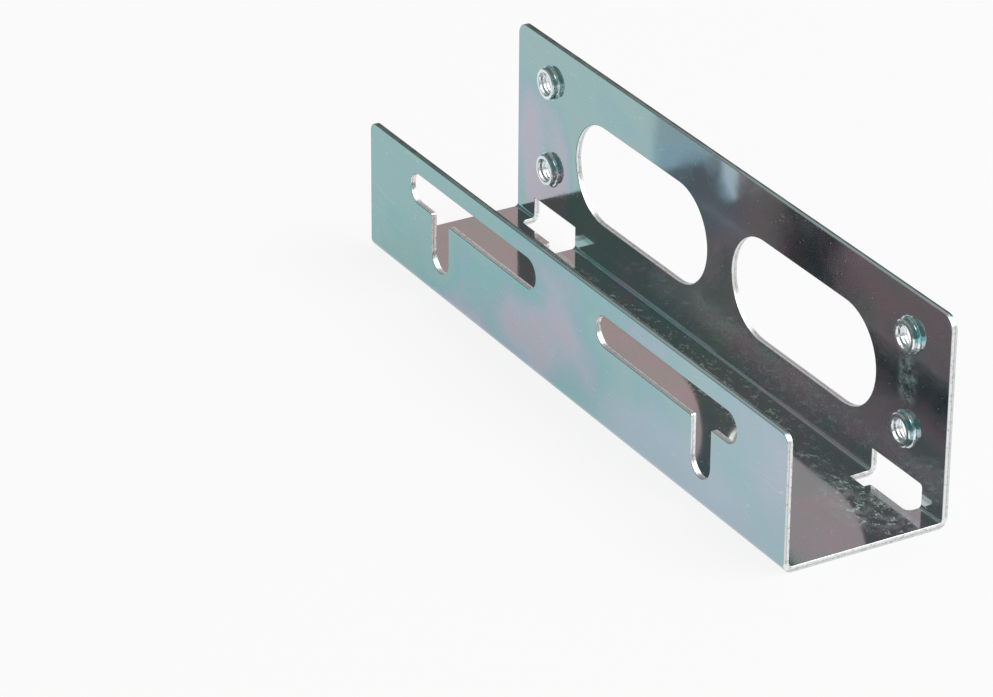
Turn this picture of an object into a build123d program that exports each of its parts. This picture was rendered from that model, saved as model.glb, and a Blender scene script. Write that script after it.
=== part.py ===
"""Drive bay adapter bracket, one of a pair.

A narrow steel channel, folded from one sheet, that fills the gap between a small drive and the
side of a wide drive bay. Its tall wall is screwed to the bay through four tapped collars, and
the drive's own screws pass through the two hooked slots of its short wall.

Frame: millimetres, +Z up, the floor's underside at Z = 0, the length along X, the short wall
at -Y and the tall wall at +Y. The bracket is the same on both sides of the plane X = 0.
"""

import os

from build123d import *

# The folded channel
sheet = 0.75
channel_width = 22.0
short_wall_height = 17.3
bend_inner_radius = 0.5
short_corner_radius = 1.2
tall_corner_radius = 1.7

# Tapped holes of the tall wall, a rectangle that the wall's outline stands round
tapped_spacing = 79.25
tapped_rise = 11.84
lower_tapped_height = 9.1
tapped_end_margin = 7.975
tapped_top_margin = 5.46
thread_radius = 1.5

# Collars of the tapped holes, pressed out into the channel
collar_wall = 0.55
collar_height = 0.9
collar_foot_radius = 0.35
collar_lip_chamfer = 0.15
pressed_entry_radius = 0.3

# Round-ended windows of the tall wall, one on each side of a middle web
window_web = 5.5
window_to_tapped = 6.3
window_floor_margin = 6.65
window_top_margin = 6.6

# Hooked slots of the short wall: a level slot with a leg that drops from it
slot_web = 13.8
slot_width = 4.0
slot_top_margin = 2.35
slot_past_leg = 7.4
leg_spacing = 60.0
leg_width = 4.2
leg_bottom_height = 3.85
leg_corner_radius = 0.3

# Notches through the bend under the tall wall, each with a deeper slit at its inner side
notch_end_margin = 4.2
notch_length = 10.1
notch_height = 3.6
notch_reach = 2.65
notch_floor_radius = 0.8
notch_top_radius = 0.4
slit_width = 2.8
slit_reach = 3.6
finger_radius = 0.4

# Places that follow from the sizes above
channel_length = tapped_spacing + 2 * tapped_end_margin
tall_wall_height = lower_tapped_height + tapped_rise + tapped_top_margin
tall_outer_y = channel_width / 2
tall_inner_y = tall_outer_y - sheet
short_outer_y = -channel_width / 2
bend_outer_radius = bend_inner_radius + sheet

# Sketch planes in the middle of each wall's thickness: local x is X, local y is Z
tall_wall_plane = Plane.XZ.offset(sheet / 2 - tall_outer_y)
short_wall_plane = Plane.XZ.offset(-short_outer_y - sheet / 2)


# Collar: its axis along Y, the wall's inner face at Y = 0, its mouth towards -Y
collar_radius = thread_radius + collar_wall
with BuildPart() as collar:
    with BuildSketch(Plane.XY):
        with BuildLine():
            foot_x = collar_radius + collar_foot_radius
            lip_x = collar_radius - collar_lip_chamfer
            lip_y = collar_lip_chamfer - collar_height
            foot = CenterArc((foot_x, -collar_foot_radius), collar_foot_radius, 90, 90)
            Polyline(foot @ 1, (collar_radius, lip_y), (lip_x, -collar_height), (0, -collar_height))
            Polyline((0, -collar_height), (0, sheet / 2), (foot_x, sheet / 2), foot @ 0)
        make_face()
    revolve(axis=Axis.Y)

# Tool for the bore of a collar, with the entry that is drawn in from the wall's outer face
with BuildPart() as tapped_bore:
    with BuildSketch(Plane.XY):
        with BuildLine():
            entry_x = thread_radius + pressed_entry_radius
            past_face_y = 2 * sheet
            past_lip_y = -2 * collar_height
            entry = CenterArc((entry_x, sheet - pressed_entry_radius), pressed_entry_radius, 90, 90)
            Line(entry @ 1, (thread_radius, past_lip_y))
            Polyline((thread_radius, past_lip_y), (0, past_lip_y), (0, past_face_y))
            Polyline((0, past_face_y), (entry_x, past_face_y), entry @ 0)
        make_face()
    revolve(axis=Axis.Y)

# Tool for the notch at +X: its plan in the floor, kept inside its outline in the wall
notch_outer_x = channel_length / 2 - notch_end_margin
notch_inner_x = notch_outer_x - notch_length
slit_outer_x = notch_inner_x + slit_width
past_wall_y = tall_outer_y + sheet
with BuildPart() as notch:
    with BuildSketch(Plane.XY.offset(-sheet)) as notch_plan:
        with BuildLine():
            Polyline(
                (notch_inner_x, past_wall_y),
                (notch_inner_x, tall_outer_y - slit_reach),
                (slit_outer_x, tall_outer_y - slit_reach),
                (slit_outer_x, tall_outer_y - notch_reach),
                (notch_outer_x, tall_outer_y - notch_reach),
                (notch_outer_x, past_wall_y),
                close=True,
            )
        make_face()
        fillet(notch_plan.vertices().group_by(Axis.Y)[1].sort_by(Axis.X)[-1], radius=notch_floor_radius)
        fillet(notch_plan.vertices().group_by(Axis.Y)[1].sort_by(Axis.X)[0], radius=finger_radius)
    extrude(amount=notch_height + sheet)
    with BuildSketch(Plane.XZ.offset(-past_wall_y)) as notch_outline:
        with Locations((notch_outer_x, notch_height)):
            Rectangle(notch_length, notch_height + sheet, align=Align.MAX)
        upper_corners = notch_outline.vertices().group_by(Axis.Y)[-1]
        fillet(upper_corners.sort_by(Axis.X)[-1], radius=notch_top_radius)
    extrude(amount=slit_reach + sheet, mode=Mode.INTERSECT)

with BuildPart() as bracket:
    # The folded section, run along the whole length
    with BuildSketch(Plane.YZ) as section:
        with BuildLine():
            Polyline(
                (short_outer_y, short_wall_height),
                (short_outer_y, 0),
                (tall_outer_y, 0),
                (tall_outer_y, tall_wall_height),
                (tall_inner_y, tall_wall_height),
                (tall_inner_y, sheet),
                (short_outer_y + sheet, sheet),
                (short_outer_y + sheet, short_wall_height),
                close=True,
            )
        make_face()
        fillet(section.vertices().group_by(Axis.Y)[1], radius=bend_inner_radius)
        fillet(section.vertices().group_by(Axis.Y)[0], radius=bend_outer_radius)
    extrude(amount=channel_length / 2, both=True)

    # Rounded upper corners of both walls, found as the short edges across the sheet
    edges_across = bracket.edges().filter_by(Axis.Y)
    wall_corners = edges_across.filter_by(lambda edge: edge.length < 1.5 * sheet)
    short_corners, tall_corners = wall_corners.group_by(Axis.Z)
    fillet(short_corners, radius=short_corner_radius)
    fillet(tall_corners, radius=tall_corner_radius)

    # Collars, and their bores
    tapped_centre_height = lower_tapped_height + tapped_rise / 2
    tapped_plane = Plane((0, tall_inner_y, tapped_centre_height), x_dir=(1, 0, 0), z_dir=(0, -1, 0))
    with Locations(tapped_plane):
        with GridLocations(tapped_spacing, tapped_rise, 2, 2):
            add(collar.part, rotation=(-90, 0, 0))
            add(tapped_bore.part, rotation=(-90, 0, 0), mode=Mode.SUBTRACT)

    # Windows, from the middle web to their margin from the tapped holes
    window_length = (tapped_spacing - window_web) / 2 - window_to_tapped
    window_height = tall_wall_height - window_floor_margin - window_top_margin
    with BuildSketch(tall_wall_plane):
        with Locations((0, window_floor_margin + window_height / 2)):
            with GridLocations(window_length + window_web, 0, 2, 1):
                SlotOverall(window_length, window_height)
    extrude(amount=sheet, both=True, mode=Mode.SUBTRACT)

    # Hooked slots: the level slot, then the leg with its round bottom
    slot_length = (leg_spacing - slot_web) / 2 + slot_past_leg
    slot_centre_height = short_wall_height - slot_top_margin - slot_width / 2
    leg_arc_height = leg_bottom_height + leg_width / 2
    with BuildSketch(short_wall_plane) as hooked_slots:
        with Locations((0, slot_centre_height)):
            with GridLocations(slot_length + slot_web, 0, 2, 1):
                SlotOverall(slot_length, slot_width)
        with Locations((0, leg_arc_height)):
            with GridLocations(leg_spacing, 0, 2, 1):
                Circle(leg_width / 2)
                Rectangle(leg_width, slot_centre_height - leg_arc_height, align=(Align.CENTER, Align.MIN))
        slot_floor_corners = hooked_slots.vertices().group_by(Axis.Y)[1]
        leg_corners = slot_floor_corners.filter_by(
            lambda corner: abs(abs(corner.X) - leg_spacing / 2) < 0.75 * leg_width
        )
        fillet(leg_corners, radius=leg_corner_radius)
    extrude(amount=sheet, both=True, mode=Mode.SUBTRACT)

    # Notches through the bend, the second one mirrored to the other end
    add(notch.part, mode=Mode.SUBTRACT)
    add(mirror(notch.part, about=Plane.YZ, mode=Mode.PRIVATE), mode=Mode.SUBTRACT)

bracket.part.label = "bracket"

os.makedirs("parts", exist_ok=True)
export_step(bracket.part, "parts/bracket.step")

print("volume", round(bracket.part.volume, 1), "size", bracket.part.bounding_box().size)
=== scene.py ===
# %% [markdown]
# # A zinc-plated adapter bracket
# The real bracket is one strip of sheet steel. It was pierced, its four screw holes were drawn out
# into collars and tapped, and it was folded into a channel and then plated with bright zinc. The
# shape comes ready from the CAD model, so most of this notebook is about the finish: a glossy metal
# skin with a faint blue-green and pink tint, bare-looking cut edges, handling marks, and the
# threads in the four collars.

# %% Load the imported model
import math

import bpy
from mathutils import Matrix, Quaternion, Vector


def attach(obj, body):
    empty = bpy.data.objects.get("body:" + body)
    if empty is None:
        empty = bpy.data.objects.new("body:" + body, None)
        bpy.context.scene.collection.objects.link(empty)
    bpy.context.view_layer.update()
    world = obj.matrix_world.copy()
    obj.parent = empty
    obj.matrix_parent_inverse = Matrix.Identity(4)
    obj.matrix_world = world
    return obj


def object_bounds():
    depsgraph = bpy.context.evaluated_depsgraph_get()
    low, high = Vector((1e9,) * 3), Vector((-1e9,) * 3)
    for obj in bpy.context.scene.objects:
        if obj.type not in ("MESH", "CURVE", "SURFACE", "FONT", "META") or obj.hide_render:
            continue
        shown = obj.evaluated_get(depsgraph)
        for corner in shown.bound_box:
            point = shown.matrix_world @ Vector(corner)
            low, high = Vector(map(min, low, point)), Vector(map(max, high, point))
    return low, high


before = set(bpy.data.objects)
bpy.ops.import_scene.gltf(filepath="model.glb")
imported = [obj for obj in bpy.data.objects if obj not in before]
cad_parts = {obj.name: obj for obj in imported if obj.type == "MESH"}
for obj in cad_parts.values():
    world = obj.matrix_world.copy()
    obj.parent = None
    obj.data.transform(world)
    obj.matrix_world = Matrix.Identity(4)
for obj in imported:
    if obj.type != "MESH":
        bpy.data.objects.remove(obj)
cad_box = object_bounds()
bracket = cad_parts["bracket"]
scene = bpy.context.scene
mm = 0.001
print("bracket", [round(side / mm, 2) for side in cad_box[1] - cad_box[0]], "mm")

# %% [markdown]
# ## The camera
# The photograph was taken with a long lens from above the near corner. A camera is easiest to
# read as a point that it looks at, a distance, two angles and a small roll, so those are the
# values here, and the position and turn of the camera follow from them.

# %% Camera
aim = Vector((-10.18, -14.38, 3.15)) * mm
distance = 576.2 * mm
azimuth = math.radians(59.98)
elevation = math.radians(27.18)
roll = math.radians(0.32)

back = Vector((
    math.sin(azimuth) * math.cos(elevation),
    -math.cos(azimuth) * math.cos(elevation),
    math.sin(elevation),
))
camera_data = bpy.data.cameras.new("camera")
camera_data.lens = 175.18
camera_data.sensor_width = 36
camera = bpy.data.objects.new("camera", camera_data)
camera.location = aim + back * distance
camera.rotation_mode = "QUATERNION"
camera.rotation_quaternion = (-back).to_track_quat("-Z", "Y") @ Quaternion((0, 0, 1), roll)
scene.collection.objects.link(camera)
scene.camera = camera
scene.view_settings.view_transform = "Standard"
print("camera at", [round(c, 3) for c in camera.location])

# %% [markdown]
# ## Sizes that the finish needs
# The finish changes near cut edges, so it has to know where they are. These are the sizes of the
# CAD model, in millimetres, and each is either read from the model's box or is the place of a
# hole, a slot or a window in it. Both ends are alike, so the places of one end are enough.

# %% Sizes of the bracket
half_length, half_width, tall_height = [side / mm for side in cad_box[1]]
sheet = 0.75
short_height = 17.3
bend_radius = 1.25

tapped_x = 39.625
tapped_low = 9.1
tapped_high = 20.94
bore_radius = 1.5
collar_height = 0.9
collar_zone = 2.7

window_near, window_far = 9.325, 26.75
window_middle, window_radius = 13.225, 6.575

slot_near, slot_far = 8.9, 35.4
slot_middle, slot_radius = 12.95, 2.0
leg_x, leg_low, leg_radius = 30.0, 5.95, 2.1
print("half length", round(half_length, 2), "half width", round(half_width, 2))

# %% [markdown]
# ## Round arcs and crisp corners
# The CAD mesh is made of flat facets. Smooth shading hides the facets of an arc, but it also
# smears light round real corners, so those are marked as sharp again. It could be done face by
# face, but the mesh must not change, so a node group decides by the angle between two faces. Its
# limit lies just under the 45 degrees of the chamfers at the collars' lips.

# %% Shading by angle
sharp_from = 40


def smooth_by_angle(name, degrees):
    group = bpy.data.node_groups.new(name, "GeometryNodeTree")
    group.interface.new_socket("Geometry", in_out="INPUT", socket_type="NodeSocketGeometry")
    group.interface.new_socket("Geometry", in_out="OUTPUT", socket_type="NodeSocketGeometry")
    start = group.nodes.new("NodeGroupInput")
    end = group.nodes.new("NodeGroupOutput")
    all_faces = group.nodes.new("GeometryNodeSetShadeSmooth")
    all_faces.domain = "FACE"
    angle = group.nodes.new("GeometryNodeInputMeshEdgeAngle")
    is_corner = group.nodes.new("FunctionNodeCompare")
    is_corner.operation = "GREATER_THAN"
    is_corner.inputs["B"].default_value = math.radians(degrees)
    corners = group.nodes.new("GeometryNodeSetShadeSmooth")
    corners.domain = "EDGE"
    corners.inputs["Shade Smooth"].default_value = False
    group.links.new(start.outputs[0], all_faces.inputs["Geometry"])
    group.links.new(all_faces.outputs[0], corners.inputs["Geometry"])
    group.links.new(angle.outputs["Unsigned Angle"], is_corner.inputs["A"])
    group.links.new(is_corner.outputs["Result"], corners.inputs["Selection"])
    group.links.new(corners.outputs[0], end.inputs[0])
    return group


shading = smooth_by_angle("smooth_by_angle", sharp_from)
print("shading group with", len(shading.nodes), "nodes")

# %% [markdown]
# ## Edges that catch the light
# Sheared sheet never has a perfectly sharp edge, and a sharp edge shows no highlight. The CAD
# mesh must stay as it is, but modifiers may be stacked on it. Its faces arrive with points of
# their own along every edge, so a weld joins them first. The flat faces are then joined into
# large polygons, so that the bevel has clean edges to follow. The arcs are shaded smoothly, a
# tiny bevel rounds every cut edge, and the last modifier keeps the flats flat.

# %% Modifiers on the bracket
weld_distance = 0.001 * mm
flat_within = math.radians(0.5)
worn_width = 0.06 * mm
worn_from = math.radians(50)
large_faces_first = 100

welded = bracket.modifiers.new("welded_points", "WELD")
welded.merge_threshold = weld_distance

joined = bracket.modifiers.new("joined_flats", "DECIMATE")
joined.decimate_type = "DISSOLVE"
joined.angle_limit = flat_within

shaded = bracket.modifiers.new("shading", "NODES")
shaded.node_group = shading

worn = bracket.modifiers.new("worn_edges", "BEVEL")
worn.width = worn_width
worn.segments = 2
worn.limit_method = "ANGLE"
worn.angle_limit = worn_from
worn.use_clamp_overlap = True

weighted = bracket.modifiers.new("weighted", "WEIGHTED_NORMAL")
weighted.weight = large_faces_first
weighted.keep_sharp = True

bpy.context.view_layer.update()
dressed = bracket.evaluated_get(bpy.context.evaluated_depsgraph_get())
print("faces", len(bracket.data.polygons), "->", len(dressed.data.polygons))

# %% [markdown]
# ## Threads
# Each collar is tapped M3, which leaves a helical ridge with a half-millimetre pitch in a bore
# that the CAD model keeps plain. The ridge could be bump, but it catches hard highlights at the
# mouth of the collar, so it is real geometry: a ridge with sloping sides and a narrow crest,
# carried round a helix. Its height fades to nothing at both ends, as it does where a tap enters
# and leaves, and its root lies a little inside the wall of the bore, so that no gap shows.

# %% Thread mesh
pitch = 0.5
ridge_depth = 0.27
root_half, crest_half = 0.22, 0.04
root_offset, crest_offset = 0.03, 0.02
mouth_margin, entry_margin = 0.03, 0.24
run_out = 6
steps_per_turn = 48


def helical_ridge(name, x, z):
    inner_y = half_width - sheet - collar_height + mouth_margin
    outer_y = half_width - entry_margin
    turns = (outer_y - inner_y - 2 * root_half) / pitch
    steps = round(turns * steps_per_turn)
    root = bore_radius + root_offset
    points = []
    for step in range(steps + 1):
        share = step / steps
        angle = share * turns * math.tau
        y = inner_y + root_half + share * turns * pitch
        fade = min(1, run_out * share, run_out * (1 - share))
        crest = bore_radius + crest_offset - ridge_depth * fade
        profile = ((root, -root_half), (crest, -crest_half), (crest, crest_half), (root, root_half))
        for radius, along in profile:
            point = (x + radius * math.cos(angle), y + along, z + radius * math.sin(angle))
            points.append(Vector(point) * mm)

    faces = []
    for step in range(steps):
        for side in range(4):
            a = 4 * step + side
            b = 4 * step + (side + 1) % 4
            faces.append((a, a + 4, b + 4, b))
    faces.append((0, 1, 2, 3))
    faces.append(tuple(4 * steps + side for side in (3, 2, 1, 0)))

    mesh = bpy.data.meshes.new(name)
    mesh.from_pydata(points, [], faces)
    mesh.update()
    ridge = bpy.data.objects.new(name, mesh)
    scene.collection.objects.link(ridge)
    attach(ridge, "root")
    return ridge


# %% [markdown]
# The same ridge goes into all four tapped holes. It belongs to the bracket, so it rides on the
# bracket's body and shares its finish and its shading.

# %% Four threads
threads = []
for end_name, x in (("far", -tapped_x), ("near", tapped_x)):
    for row_name, z in (("low", tapped_low), ("high", tapped_high)):
        threads.append(helical_ridge(f"thread_{end_name}_{row_name}", x, z))
for ridge in threads:
    crest_shading = ridge.modifiers.new("shading", "NODES")
    crest_shading.node_group = shading
print("threads", len(threads), "with", len(threads[0].data.polygons), "faces each")

# %% [markdown]
# ## The zinc finish
# Bright zinc is a mirror that is slightly soft. Its clear passivation is a film so thin that it
# tints the reflection. It could be painted as a picture and wrapped round the part, but a picture
# blurs close up and needs a flat layout of the metal, so the finish is made of shader nodes that
# work out every point by themselves. A small helper turns many nodes into a line that reads like
# a formula.

# %% Node helper
class Graph:
    """Makes and links shader nodes, so that a formula stays on one line."""

    def __init__(self, tree):
        self.nodes = tree.nodes
        self.links = tree.links

    def put(self, socket, value):
        if isinstance(value, bpy.types.NodeSocket):
            self.links.new(value, socket)
        elif isinstance(value, tuple) and socket.type == "RGBA":
            socket.default_value = (*value, 1)
        else:
            socket.default_value = value

    def math(self, operation, a, b=None, clamp=False):
        node = self.nodes.new("ShaderNodeMath")
        node.operation = operation
        node.use_clamp = clamp
        self.put(node.inputs[0], a)
        if b is not None:
            self.put(node.inputs[1], b)
        return node.outputs[0]

    def chain(self, operation, first, *others):
        """Works from left to right, with one node for each further value."""
        result = first
        for other in others:
            result = self.math(operation, result, other)
        return result

    def plus(self, *values):
        return self.chain("ADD", *values)

    def minus(self, *values):
        return self.chain("SUBTRACT", *values)

    def times(self, *values):
        return self.chain("MULTIPLY", *values)

    def most(self, *values):
        return self.chain("MAXIMUM", *values)

    def least(self, *values):
        return self.chain("MINIMUM", *values)

    def vector_math(self, operation, a, b=None):
        node = self.nodes.new("ShaderNodeVectorMath")
        node.operation = operation
        self.put(node.inputs[0], a)
        if b is not None:
            self.put(node.inputs[1], b)
        return node.outputs

    def split(self, vector):
        node = self.nodes.new("ShaderNodeSeparateXYZ")
        self.links.new(vector, node.inputs[0])
        return node.outputs

    def step_between(self, value, low, high, kind="SMOOTHSTEP"):
        node = self.nodes.new("ShaderNodeMapRange")
        node.interpolation_type = kind
        self.put(node.inputs["Value"], value)
        self.put(node.inputs["From Min"], low)
        self.put(node.inputs["From Max"], high)
        return node.outputs["Result"]

    def between(self, kind, share, a, b):
        node = self.nodes.new("ShaderNodeMix")
        node.data_type = kind
        self.put(node.inputs["Factor"], share)
        self.put(node.inputs["A"], a)
        self.put(node.inputs["B"], b)
        return node.outputs["Result"]

    def mix(self, share, a, b):
        return self.between("RGBA", share, a, b)

    def blend(self, share, a, b):
        return self.between("FLOAT", share, a, b)


# %% [markdown]
# ### Places on the metal
# The finish needs to know where on the bracket a point lies. Everything is measured in
# millimetres from the object's own coordinates, so the finish stays on the metal when the camera
# or the part moves. The walls stand up from the bends, and the tall one lies at the larger Y.

# %% Places on the sheet
tall_wall_from = 8.0

zinc = bpy.data.materials.new("zinc_plate")
zinc.use_nodes = True
shader = zinc.node_tree.nodes["Principled BSDF"]
g = Graph(zinc.node_tree)

coordinates = g.nodes.new("ShaderNodeTexCoord")
in_metres = coordinates.outputs["Object"]
place = g.vector_math("DIVIDE", in_metres, (mm, mm, mm))["Vector"]
x, y, z = g.split(place)
nx, ny, nz = g.split(coordinates.outputs["Normal"])
x_size = g.math("ABSOLUTE", x)
y_size = g.math("ABSOLUTE", y)

on_tall_wall = g.math("GREATER_THAN", y, tall_wall_from)
on_wall = g.math("GREATER_THAN", z, bend_radius)
wall_height = g.blend(on_tall_wall, short_height, tall_height)
from_top = g.minus(wall_height, z)
within = g.times(
    g.math("LESS_THAN", y_size, half_width - sheet / 2),
    g.math("GREATER_THAN", z, sheet / 2),
)
print("nodes for places", len(g.nodes))

# %% [markdown]
# ### Distance to the nearest edge
# The plating is thicker near every edge, so each point needs its distance from the holes, windows
# and slots. All of them are round-ended slots of some length, so one formula serves them all, and
# a hole is a slot of no length. The distance to a wall's top edge is joined in, a little shortened.

# %% Distances
top_share = 0.6
far_away = 50.0


def capsule(a, b, low, high, middle, radius):
    """Distance from the edge of a round-ended slot that runs along a, at middle on b."""
    along = g.most(g.minus(low, a), g.minus(a, high), 0.0)
    across = g.minus(b, middle)
    squares = g.plus(g.math("POWER", along, 2.0), g.times(across, across))
    return g.minus(g.math("SQRT", squares), radius)


window_gap = capsule(x_size, z, window_near, window_far, window_middle, window_radius)
slot_gap = capsule(x_size, z, slot_near, slot_far, slot_middle, slot_radius)
leg_gap = capsule(z, x_size, leg_low, slot_middle, leg_x, leg_radius)
hole_low_gap = capsule(x_size, z, tapped_x, tapped_x, tapped_low, bore_radius)
hole_high_gap = capsule(x_size, z, tapped_x, tapped_x, tapped_high, bore_radius)
hole_gap = g.least(hole_low_gap, hole_high_gap)
pierced_gap = g.blend(on_tall_wall, g.least(slot_gap, leg_gap), g.least(window_gap, hole_gap))
edge_gap = g.least(g.times(from_top, top_share), g.blend(on_wall, far_away, pierced_gap))
print("nodes with distances", len(g.nodes))

# %% [markdown]
# ### Where the sheet was cut
# A cut face is one whose direction lies in the plane of the sheet: on the walls that is any
# direction without Y, and on the floor any direction without Z. The cut faces could be picked one
# by one, but a rule still holds when the CAD model changes. The collars are left out, because
# their walls were drawn from the skin of the sheet and are plated like it.

# %% Cut faces
half_turned = 0.5
top_zone = 0.5
top_slope_from, top_slope_to = 0.75, 0.97

in_collar = g.times(on_tall_wall, g.math("LESS_THAN", hole_gap, collar_zone - bore_radius))
flat_y = g.math("LESS_THAN", g.math("ABSOLUTE", ny), half_turned)
flat_z = g.math("LESS_THAN", g.math("ABSOLUTE", nz), half_turned)
end_face = g.math("GREATER_THAN", g.math("ABSOLUTE", nx), half_turned)
inside_floor = g.math("LESS_THAN", y_size, half_width - bend_radius)
floor_cut = g.most(end_face, g.times(inside_floor, flat_z))
cut = g.times(g.blend(on_wall, floor_cut, flat_y), g.minus(1.0, in_collar))

wall_depth = g.math("DIVIDE", g.minus(half_width, y_size), sheet)
floor_depth = g.math("DIVIDE", z, sheet)
depth = g.blend(on_wall, floor_depth, wall_depth)
near_top = g.math("LESS_THAN", from_top, top_zone)
top_edge = g.times(near_top, g.step_between(nz, top_slope_from, top_slope_to))
print("nodes with cut faces", len(g.nodes))

# %% [markdown]
# ### Clouds and patches
# No two spots of a real finish are alike, and two small helpers give that. Noise makes clouds and
# grit that lie all over the metal. A patch keeps something to one place: it is a soft oval round
# a point, full in the middle and gone at its reach.

# %% Clouds and patches
full_within = 0.45


def noise(scale, detail=2.0, roughness=0.5, stretch=(1, 1, 1), shift=(0, 0, 0), turn=(0, 0, 0)):
    mapping = g.nodes.new("ShaderNodeMapping")
    mapping.inputs["Scale"].default_value = stretch
    mapping.inputs["Location"].default_value = shift
    mapping.inputs["Rotation"].default_value = turn
    g.links.new(place, mapping.inputs["Vector"])
    node = g.nodes.new("ShaderNodeTexNoise")
    node.inputs["Scale"].default_value = scale
    node.inputs["Detail"].default_value = detail
    node.inputs["Roughness"].default_value = roughness
    g.links.new(mapping.outputs[0], node.inputs["Vector"])
    return node.outputs["Fac"]


def patch(centre, reach):
    offset = g.vector_math("SUBTRACT", place, centre)["Vector"]
    shrunk = g.vector_math("DIVIDE", offset, reach)["Vector"]
    length = g.vector_math("LENGTH", shrunk)["Value"]
    return g.step_between(length, 1.0, full_within)


# %% [markdown]
# ### The thickness of the film
# The tint of the real film depends on how thick it is, so the thickness is built first, as one
# number. Wide clouds and a finer mottle change it, it grows within two or three millimetres of an
# edge and towards the far end, and it is thinner in two patches.

# %% Film
film_start = 0.1
halo_reach = 2.2
halo_strength = 0.6
mottle_middle, mottle_strength = 0.5, 0.35
growth_per_mm = 0.004
thin_far_end, thin_short_wall = 0.9, 0.2

clouds = noise(0.055, detail=2.5, roughness=0.45, shift=(3, 1, 7))
mottle = noise(0.35, detail=3.0, roughness=0.55, shift=(11, 4, 2))
halo = g.math("EXPONENT", g.math("DIVIDE", g.most(edge_gap, 0.0), -halo_reach))
thin_film = g.plus(
    g.times(patch((-41.0, 10.2, 10.0), (9.0, 3.0, 14.0)), thin_far_end),
    g.times(patch((-3.0, -11.0, 4.0), (14.0, 3.0, 9.0)), thin_short_wall),
)
film = g.plus(
    g.step_between(clouds, 0.36, 0.64, "LINEAR"),
    g.times(halo, halo_strength),
    g.times(g.minus(mottle, mottle_middle), mottle_strength),
    film_start,
)
film = g.minus(film, g.times(x, growth_per_mm), thin_film)
print("nodes with the film", len(g.nodes))

# %% [markdown]
# ### The tint of the film
# A thin film shows lilac, then blue, then teal as it grows. Blender can work that out from
# physics, but then the colours are hard to steer, so a ramp over the thickness is used, with the
# colours of the real part. The near end is paler, and low on the short wall there is more lilac.

# %% Colours outside
pale_strength, pale_blue = 0.45, (0.52, 0.60, 0.68)
lilac_strength, lilac = 0.55, (0.47, 0.53, 0.66)


def ramp(value, stops):
    node = g.nodes.new("ShaderNodeValToRGB")
    elements = node.color_ramp.elements
    while len(elements) < len(stops):
        elements.new(0.5)
    for element, (position, colour) in zip(elements, stops):
        element.position = position
        element.color = (*colour, 1)
    g.put(node.inputs["Fac"], value)
    return node.outputs["Color"]


skin_colour = ramp(film, (
    (0.00, (0.44, 0.43, 0.50)),
    (0.25, (0.39, 0.45, 0.53)),
    (0.50, (0.31, 0.44, 0.50)),
    (0.75, (0.24, 0.46, 0.48)),
    (1.00, (0.28, 0.47, 0.475)),
))
paler = g.times(g.step_between(x, -10.0, 50.0), pale_strength)
skin_colour = g.mix(paler, skin_colour, pale_blue)
lilac_patch = g.times(patch((25.0, -11.0, 1.0), (24.0, 3.0, 9.0)), lilac_strength)
skin_colour = g.mix(lilac_patch, skin_colour, lilac)
print("nodes with the outer tint", len(g.nodes))

# %% [markdown]
# ### The inside of the channel
# Inside the channel the tint is warmer: brown and grey on the floor, pink and grey on the tall
# wall. It could be one ramp for the whole part, but as a second layer of colour, mixed over the
# first, each of the two can be changed alone. The web between the windows is the lightest spot,
# a painted highlight that stands in for a brighter reflection there, and one patch above it is a
# strong blue.

# %% Colours inside
wall_from, wall_to = 9.3, 10.0
floor_warmth = 0.8
far_warmth, near_warmth = 0.12, 0.55
web_highlight_strength, painted_highlight_pale = 0.7, (0.98, 0.92, 0.95)
blue_strength, strong_blue = 0.6, (0.26, 0.52, 0.66)
short_zone, short_inner = 0.3, (0.68, 0.64, 0.65)

up_the_wall = g.step_between(y, wall_from, wall_to)
tall_warmth = g.blend(g.step_between(x, -15.0, 15.0), far_warmth, near_warmth)
warm = g.times(within, g.blend(up_the_wall, floor_warmth, tall_warmth))
patches = g.step_between(noise(0.16, detail=3.0, shift=(8, 30, 12)), 0.4, 0.62)
far_floor = g.mix(patches, (0.68, 0.52, 0.52), (0.62, 0.54, 0.49))
near_floor = g.mix(patches, (0.52, 0.44, 0.46), (0.44, 0.45, 0.44))
floor_colour = g.mix(g.step_between(x, 0.0, 30.0), far_floor, near_floor)
wall_colour = g.mix(patches, (0.72, 0.59, 0.65), (0.58, 0.62, 0.61))
# painted highlight: a pale patch on the web between the windows stands in for a brighter reflection
# there
web_painted_highlight = g.times(patch((-1.0, 10.2, 12.0), (8.0, 1.5, 12.0)), web_highlight_strength)
wall_colour = g.mix(web_painted_highlight, wall_colour, painted_highlight_pale)
skin_colour = g.mix(warm, skin_colour, g.mix(up_the_wall, floor_colour, wall_colour))

blue_patch = g.times(patch((-5.0, 10.2, 21.0), (14.0, 1.5, 8.0)), blue_strength)
skin_colour = g.mix(blue_patch, skin_colour, strong_blue)
short_inside = g.times(within, g.math("LESS_THAN", y, short_zone - half_width + sheet))
skin_colour = g.mix(short_inside, skin_colour, short_inner)
print("nodes with the inside", len(g.nodes))

# %% [markdown]
# ### The collars
# A collar is stretched metal, so its film is uneven: the lip is nearly white, and the side goes
# from white to teal within a millimetre. That white is partly the film and partly painted
# highlight, which stands in for the bright broken glints on the collars, and the far collars are
# given a paler teal than the near ones, a painted reflection that makes up for the darker room
# they mirror. A material of its own would give a hard border at the collar's foot, so it is a tint
# in the same material. The tint starts below the outer face of the wall, so that no pale ring shows
# round the holes there.

# %% Colours of the collars
collar_reach = 0.75
entry_from, entry_to = 0.05, 0.35
far_teal_painted_paler, near_teal = (0.50, 0.82, 0.86), (0.30, 0.66, 0.70)
collar_white_painted_highlight = (0.95, 1.00, 1.00)
lip_colour = (0.82, 0.88, 0.89)

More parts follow.
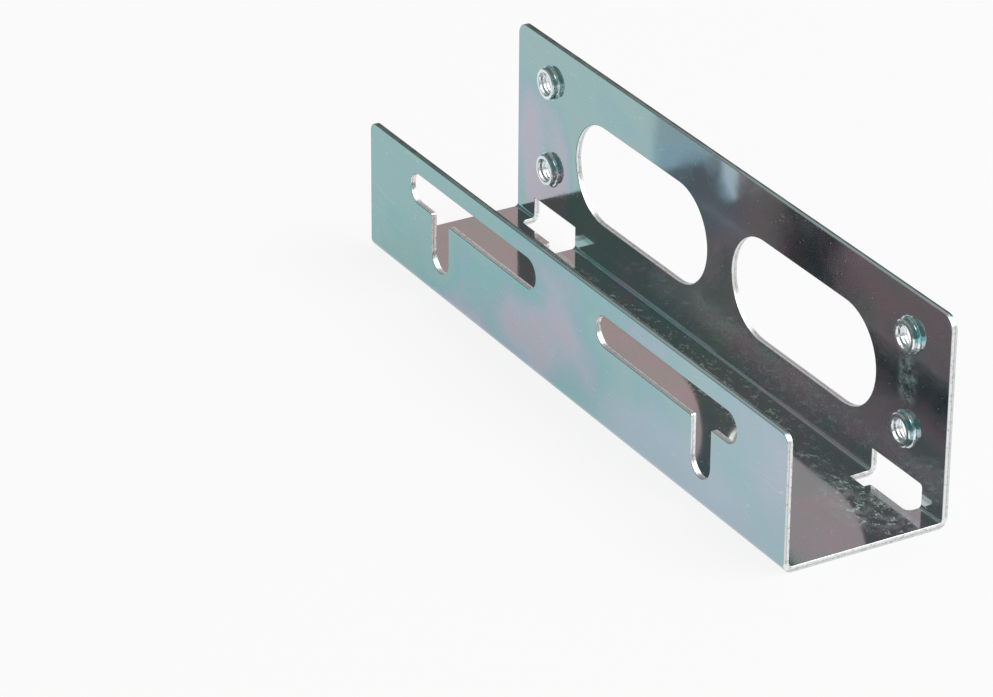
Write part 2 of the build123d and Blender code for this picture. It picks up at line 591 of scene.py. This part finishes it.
collar = g.times(on_tall_wall, g.math("LESS_THAN", hole_gap, collar_reach))
collar = g.times(collar, g.step_between(y, half_width - entry_from, half_width - entry_to))
collar_clouds = noise(0.75, detail=2.0, roughness=0.6, shift=(7, 2, 13))
nearness = g.step_between(x, -10.0, 10.0)
# painted reflection: the far collars get a paler teal than the near ones to make up for the darker
# room they mirror
collar_teal_painted_light = g.mix(nearness, far_teal_painted_paler, near_teal)
# painted highlight, partly the film's own tint: white clouds on the collar sides stand in for
# broken glints
collar_side = g.mix(g.step_between(collar_clouds, 0.42, 0.58), collar_teal_painted_light, collar_white_painted_highlight)
collar_colour = g.mix(g.step_between(hole_gap, 0.2, 0.5), lip_colour, collar_side)
skin_colour = g.mix(collar, skin_colour, collar_colour)
print("nodes with the collars", len(g.nodes))

# %% [markdown]
# ### Cut edges
# A punch shears the first part of the thickness and breaks the rest, so a cut face shows a bright
# band, a dark line and a second bright band. The face is far too narrow to model them, so a ramp
# over the depth in the sheet draws them, and a fine grit breaks them up.

# %% Colours of the cut faces
grit_strength, grit_colour = 0.45, (0.25, 0.24, 0.22)

cut_colour = ramp(depth, (
    (0.00, (0.66, 0.70, 0.69)),
    (0.28, (0.78, 0.80, 0.79)),
    (0.42, (0.48, 0.49, 0.48)),
    (0.56, (0.84, 0.86, 0.85)),
    (1.00, (0.88, 0.91, 0.90)),
))
grit = noise(2.6, detail=2.0, roughness=0.7, shift=(3, 17, 2))
gritty = g.times(g.step_between(grit, 0.5, 0.68), grit_strength)
cut_colour = g.mix(gritty, cut_colour, grit_colour)
print("nodes with the cut faces' colour", len(g.nodes))

# %% [markdown]
# ### The long top edges
# The top edges of both walls look nearly black in the photograph, most likely because they mirror
# something dark above them. What that was is not known, so it is not modelled, and the dark is put
# into the metal's own colour as a painted reflection. A light strip, a painted highlight, follows
# one side of each edge and grows towards the near end.

# %% Colours of the top edges
painted_highlight_colour = (0.44, 0.60, 0.60)
short_strip_from, short_strip_to = 0.55, 0.40
tall_strip_from, tall_strip_to = 0.25, 0.4

streaks = noise(0.5, detail=2.0, stretch=(1, 0.2, 1), shift=(5, 5, 5))
# painted reflection: the dark colour of the top edges stands in for something dark that they mirror
top_edge_painted_light = ramp(streaks, (
    (0.35, (0.07, 0.09, 0.085)),
    (0.62, (0.16, 0.21, 0.20)),
))
# painted highlight: a light strip along one side of each top edge, stronger towards the near end
short_strip = g.step_between(y, short_strip_from - half_width, short_strip_to - half_width)
tall_strip = g.step_between(y, half_width - tall_strip_from, half_width - tall_strip_to)
painted_highlight_strips = g.most(short_strip, g.times(on_tall_wall, tall_strip))
painted_highlight_strips = g.times(painted_highlight_strips, g.step_between(x, -55.0, 30.0))
top_edge_painted_light = g.mix(painted_highlight_strips, top_edge_painted_light, painted_highlight_colour)
cut_colour = g.mix(top_edge, cut_colour, top_edge_painted_light)
metal_colour = g.mix(cut, skin_colour, cut_colour)
print("nodes with the top edges", len(g.nodes))

# %% [markdown]
# ### Scuffs
# Parts like this are tumbled together in a drum and shipped loose, so the inside carries scuffs.
# Each could be drawn as a curve of its own, but there are a great many. Instead they follow the
# places where a noise has one value, which wander like the contour lines of a map. They are broken
# up and kept to a few patches: round the near notch, along the floor, at the tall wall's foot and
# between two of the collars.

# %% Scribbled scuffs
core_share = 0.4
line_level, line_width = 0.5, 0.06
floor_strength, wall_strength = 0.55, 0.5


def contour(field, level, width):
    distance = g.math("ABSOLUTE", g.minus(field, level))
    return g.step_between(distance, width, width * core_share)


notch_patch = patch((40.0, 5.5, 0.8), (10.0, 5.5, 1.5))
floor_patch = patch((2.0, 6.5, 0.8), (40.0, 5.0, 1.5))
wall_patch = patch((39.5, 10.2, 15.3), (2.6, 1.5, 4.2))
foot_patch = patch((20.0, 10.2, 4.5), (26.0, 1.5, 2.8))
scribble_noise = noise(1.1, detail=2.0, roughness=0.55, stretch=(0.6, 1, 1))
broken = g.step_between(noise(0.8, detail=3.0, roughness=0.6, shift=(4, 4, 9)), 0.49, 0.60)
scribbles = g.times(contour(scribble_noise, line_level, line_width), broken)
floor_marks = g.plus(notch_patch, g.times(floor_patch, floor_strength))
wall_marks = g.times(g.plus(foot_patch, wall_patch), wall_strength)
marked = g.times(g.math("ADD", floor_marks, wall_marks, clamp=True), within)
print("nodes with the scuffs", len(g.nodes))

# %% [markdown]
# ### Scratches, dust and haze
# Long fine scratches and specks of dust lie all over, very faintly. A milky residue is left round
# the near notch, and a bluish haze between the two near collars. All of them are thresholds of a
# noise, because no single one is worth a shape, and all are paler than the metal under them.

# %% Scratches, dust and haze
scratch_level, scratch_width, scratch_strength = 0.45, 0.005, 0.25
dust_strength = 0.5
milky_strength = 0.3
haze_colour = (0.66, 0.90, 0.94)
residue_colour = (0.74, 0.84, 0.82)
scuff_colour = (0.58, 0.77, 0.71)

scratch_noise = noise(0.5, detail=1.0, stretch=(0.12, 1, 1), turn=(0, 0.5, 0.3), shift=(9, 2, 6))
scratch_lines = contour(scratch_noise, scratch_level, scratch_width)
scratches = g.times(scratch_lines, g.step_between(mottle, 0.48, 0.62), scratch_strength)
dust = g.step_between(noise(3.2, detail=0.0, shift=(15, 7, 1)), 0.80, 0.84)
dust = g.times(dust, dust_strength)

milky_noise = noise(0.7, detail=4.0, roughness=0.65, shift=(1, 14, 5))
milky = g.times(g.step_between(milky_noise, 0.42, 0.62), within, notch_patch, milky_strength)
haze_noise = noise(0.7, detail=4.0, roughness=0.65, shift=(1, 14, 8))
haze = g.times(g.step_between(haze_noise, 0.38, 0.66), within, wall_patch)
residue = g.most(milky, g.times(scribbles, marked))
marks = g.most(residue, scratches, dust)

metal_colour = g.mix(haze, metal_colour, haze_colour)
mark_colour = g.mix(scribbles, residue_colour, scuff_colour)
g.put(shader.inputs["Base Color"], g.mix(marks, metal_colour, mark_colour))
print("nodes with the marks", len(g.nodes))

# %% [markdown]
# ### Gloss
# The skin is nearly a mirror with a few duller smudges. The cut faces, the marks and the collars
# are rougher. Scuffs and haze are crushed film and dirt rather than bare metal, so they scatter
# light to all sides, and there the metallic value goes down as well.

# %% Roughness
skin_roughness, smudge_roughness = 0.085, 0.16
far_collar_roughness, near_collar_roughness = 0.27, 0.16
cut_roughness = 0.36
mark_roughness = 0.5
haze_dullness = 0.6
lost_metal = 0.7

smudge_clouds = noise(0.12, detail=4.0, roughness=0.6, shift=(20, 9, 3))
smudges = g.step_between(smudge_clouds, 0.52, 0.72)
roughness = g.blend(smudges, skin_roughness, smudge_roughness)
collar_roughness = g.blend(nearness, far_collar_roughness, near_collar_roughness)
roughness = g.blend(collar, roughness, collar_roughness)
roughness = g.blend(cut, roughness, cut_roughness)
g.put(shader.inputs["Roughness"], g.blend(marks, roughness, mark_roughness))
dull = g.most(residue, g.times(haze, haze_dullness))
g.put(shader.inputs["Metallic"], g.minus(1.0, g.times(dull, lost_metal)))
print("nodes with the gloss", len(g.nodes))

# %% [markdown]
# ### Relief
# Sheet is never quite flat, so reflections in it waver a little. Cut faces carry the fine scores
# that a punch leaves across the thickness, and the drawn collars are dented. All of it is less
# than a tenth of a millimetre high, too small to be a shape, so bump is the right tool.

# %% Bump
relief_height = 0.03 * mm
grain_strength = 0.1
dent_strength = 2.5

waver = noise(0.16, detail=1.0, shift=(2, 8, 5))
grain = noise(5.0, detail=2.0, stretch=(1, 0.15, 1))
dents = noise(1.3, detail=3.0, roughness=0.55, shift=(6, 6, 2))
relief = g.nodes.new("ShaderNodeBump")
relief.inputs["Strength"].default_value = 1.0
relief.inputs["Distance"].default_value = relief_height
scores = g.times(cut, grain, grain_strength)
g.put(relief.inputs["Height"], g.plus(waver, scores, g.times(collar, dents, dent_strength)))
g.put(shader.inputs["Normal"], relief.outputs["Normal"])

for piece in [bracket] + threads:
    piece.data.materials.clear()
    piece.data.materials.append(zinc)
print("zinc nodes", len(g.nodes))

# %% [markdown]
# ## Floor
# Bright metal is all reflection, so what lies round it matters as much as the finish. The camera
# and the metal see a white floor. A lamp strong enough to make it white would burn out the metal,
# so most of the white is given by Light Path, and the rest still takes the object's soft shadow.

# %% Floor
floor_half = 1.5
floor_drop = 0.02 * mm
floor_grey = (0.75, 0.75, 0.75)
white = (1, 1, 1)
white_for_camera = 0.88
white_for_mirrors = 0.75

floor_mesh = bpy.data.meshes.new("floor")
signs = ((-1, -1), (1, -1), (1, 1), (-1, 1))
floor_mesh.from_pydata([(a * floor_half, b * floor_half, 0) for a, b in signs], [], [(0, 1, 2, 3)])
floor = bpy.data.objects.new("floor", floor_mesh)
floor.location.z = -floor_drop
scene.collection.objects.link(floor)

floor_paint = bpy.data.materials.new("floor_paint")
floor_paint.use_nodes = True
floor_paint.node_tree.nodes.clear()
f = Graph(floor_paint.node_tree)
paper = f.nodes.new("ShaderNodeBsdfDiffuse")
f.put(paper.inputs["Color"], floor_grey)
glow = f.nodes.new("ShaderNodeEmission")
f.put(glow.inputs["Color"], white)
path = f.nodes.new("ShaderNodeLightPath")
seen = f.times(path.outputs["Is Camera Ray"], white_for_camera)
mirrored = f.times(path.outputs["Is Glossy Ray"], white_for_mirrors)
passed = f.times(path.outputs["Is Transmission Ray"], white_for_mirrors)
both = f.nodes.new("ShaderNodeMixShader")
f.put(both.inputs[0], f.most(seen, mirrored, passed))
f.put(both.inputs[1], paper.outputs[0])
f.put(both.inputs[2], glow.outputs[0])
out = f.nodes.new("ShaderNodeOutputMaterial")
f.put(out.inputs["Surface"], both.outputs[0])
floor_mesh.materials.append(floor_paint)
print("floor", 2 * floor_half, "m wide, with", len(f.nodes), "nodes")

# %% [markdown]
# ## Room
# The metal mirrors a dim, greenish room in front of the short wall and a lighter, warmer one
# behind the tall wall, which gives the channel its order of dark and light planes. A picture of a
# real room would do it too, but two colours are enough here. The camera sees plain white instead,
# so the background is the colour of paper and adds no light.

# %% World
front_colour = (0.21, 0.24, 0.225)
back_colour = (0.52, 0.47, 0.48)

world = bpy.data.worlds.new("studio")
scene.world = world
world.use_nodes = True
world.node_tree.nodes.clear()
w = Graph(world.node_tree)
look = w.nodes.new("ShaderNodeTexCoord")
to_back = w.split(look.outputs["Generated"])["Y"]
room = w.nodes.new("ShaderNodeBackground")
w.put(room.inputs["Color"], w.mix(w.step_between(to_back, -0.5, 0.5), front_colour, back_colour))
backdrop = w.nodes.new("ShaderNodeBackground")
w.put(backdrop.inputs["Color"], white)
path = w.nodes.new("ShaderNodeLightPath")
both = w.nodes.new("ShaderNodeMixShader")
w.put(both.inputs[0], path.outputs["Is Camera Ray"])
w.put(both.inputs[1], room.outputs[0])
w.put(both.inputs[2], backdrop.outputs[0])
out = w.nodes.new("ShaderNodeOutputWorld")
w.put(out.inputs["Surface"], both.outputs[0])
print("world nodes", len(w.nodes))

# %% [markdown]
# ## Lamp
# One soft lamp stands high behind the tall wall and gives the shadow in front of the short wall.
# A small strong lamp would show in the metal as a hard white spot, so it is large and weak.

# %% Lamp
lamp_place = Vector((0.70, 0.70, 1.25))
lamp_side = 1.8
lamp_watts = 25

lamp_data = bpy.data.lights.new("key", "AREA")
lamp_data.shape = "RECTANGLE"
lamp_data.size = lamp_side
lamp_data.size_y = lamp_side
lamp_data.energy = lamp_watts
lamp = bpy.data.objects.new("key", lamp_data)
lamp.location = lamp_place
lamp.rotation_mode = "QUATERNION"
lamp.rotation_quaternion = (-lamp_place).to_track_quat("-Z", "Y")
scene.collection.objects.link(lamp)
print("lamp", lamp_watts, "W,", lamp_side, "m wide")
